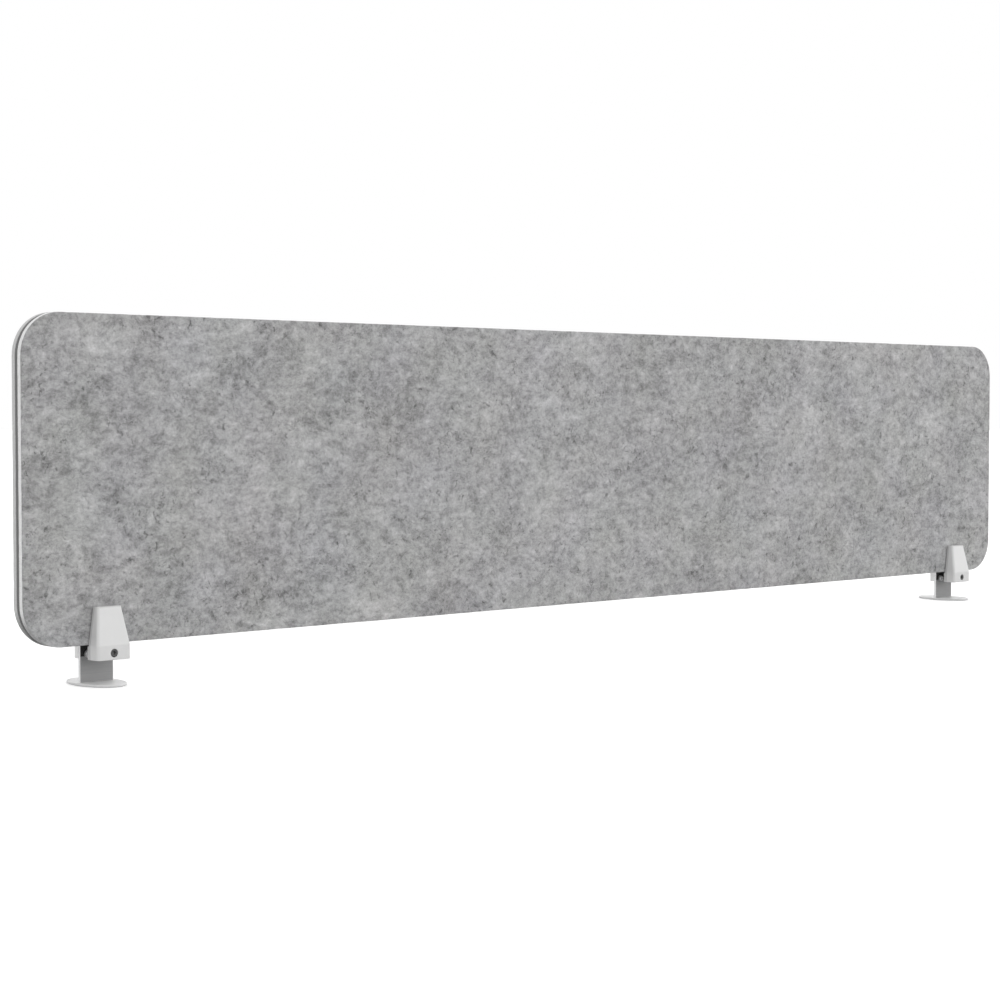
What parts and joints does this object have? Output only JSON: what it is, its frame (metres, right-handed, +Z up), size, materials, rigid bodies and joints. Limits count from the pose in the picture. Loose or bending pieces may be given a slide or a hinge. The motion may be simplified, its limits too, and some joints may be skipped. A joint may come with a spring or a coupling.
{
  "type": "desk privacy panel",
  "caption": "Free-standing felt desk privacy panel with rounded corners, held by screw clamps on oval steel feet that slide along its lower edge.",
  "frame": {"origin": "on the desk top, midway between the two feet and in the middle of their depth", "axes": "+X along the panel to the right, +Y away from the user (the clamp screws' heads face -Y), +Z up"},
  "size_m": [1.5, 0.072, 0.3375],
  "materials": {
    "grey_felt": "pressed polyester felt, mottled light grey",
    "dark_core": "dark fibreboard, sawn edge",
    "white_enamel": "smooth white enamel on a die casting, satin",
    "stem_steel": "brushed grey steel, satin",
    "pale_powder_coat": "pale grey powder coat on steel, satin",
    "grey_enamel": "light grey enamel on steel, satin",
    "screw_steel": "dark oxide-coated steel",
    "zinc_steel": "bright zinc-plated steel",
    "grey_rubber": "matte mid-grey rubber",
    "black_rubber": "matte black rubber"
  },
  "bodies": {
    "panel": {"front_felt_sheet": "grey_felt", "core_board": "dark_core", "rear_felt_sheet": "grey_felt"},
    "left_foot": {"left_foot_base": "pale_powder_coat", "left_foot_sole": "grey_rubber", "left_stem_plate": "stem_steel", "left_rear_jaw": "white_enamel", "left_rear_lining": "black_rubber", "left_clinch_nut": "zinc_steel", "left_jaw_screws": "zinc_steel"},
    "left_clamp": {"left_front_jaw": "white_enamel", "left_front_jaw_plate": "grey_enamel", "left_guide_strips": "grey_enamel", "left_front_grip_pad": "grey_rubber"},
    "left_screw": {"left_clamp_screw": "screw_steel", "left_screw_clip": "screw_steel"},
    "right_foot": {"right_foot_base": "pale_powder_coat", "right_foot_sole": "grey_rubber", "right_stem_plate": "stem_steel", "right_rear_jaw": "white_enamel", "right_rear_lining": "black_rubber", "right_clinch_nut": "zinc_steel", "right_jaw_screws": "zinc_steel"},
    "right_clamp": {"right_front_jaw": "white_enamel", "right_front_jaw_plate": "grey_enamel", "right_guide_strips": "grey_enamel", "right_front_grip_pad": "grey_rubber"},
    "right_screw": {"right_clamp_screw": "screw_steel", "right_screw_clip": "screw_steel"}
  },
  "joints": [
    {"name": "left_foot_slide", "type": "slide", "parent": "panel", "child": "left_foot", "axis": [1, 0, 0], "range_m": [-0.025, 0.56]},
    {"name": "left_clamp_open", "type": "slide", "parent": "left_foot", "child": "left_clamp", "axis": [0, -1, 0], "range_m": [0, 0.0035]},
    {"name": "left_screw_turn", "type": "hinge", "parent": "left_clamp", "child": "left_screw", "pos_m": [-0.665, -0.025, 0.0305], "axis": [0, -1, 0], "range_deg": [0, 1800]},
    {"name": "right_foot_slide", "type": "slide", "parent": "panel", "child": "right_foot", "axis": [-1, 0, 0], "range_m": [-0.025, 0.56]},
    {"name": "right_clamp_open", "type": "slide", "parent": "right_foot", "child": "right_clamp", "axis": [0, -1, 0], "range_m": [0, 0.0035]},
    {"name": "right_screw_turn", "type": "hinge", "parent": "right_clamp", "child": "right_screw", "pos_m": [0.665, -0.025, 0.0305], "axis": [0, -1, 0], "range_deg": [0, 1800]}
  ],
  "couplings": [
    {"joint": "left_screw_turn", "follows": "left_clamp_open", "rad_per_m": 8976},
    {"joint": "right_screw_turn", "follows": "right_clamp_open", "rad_per_m": 8976}
  ]
}
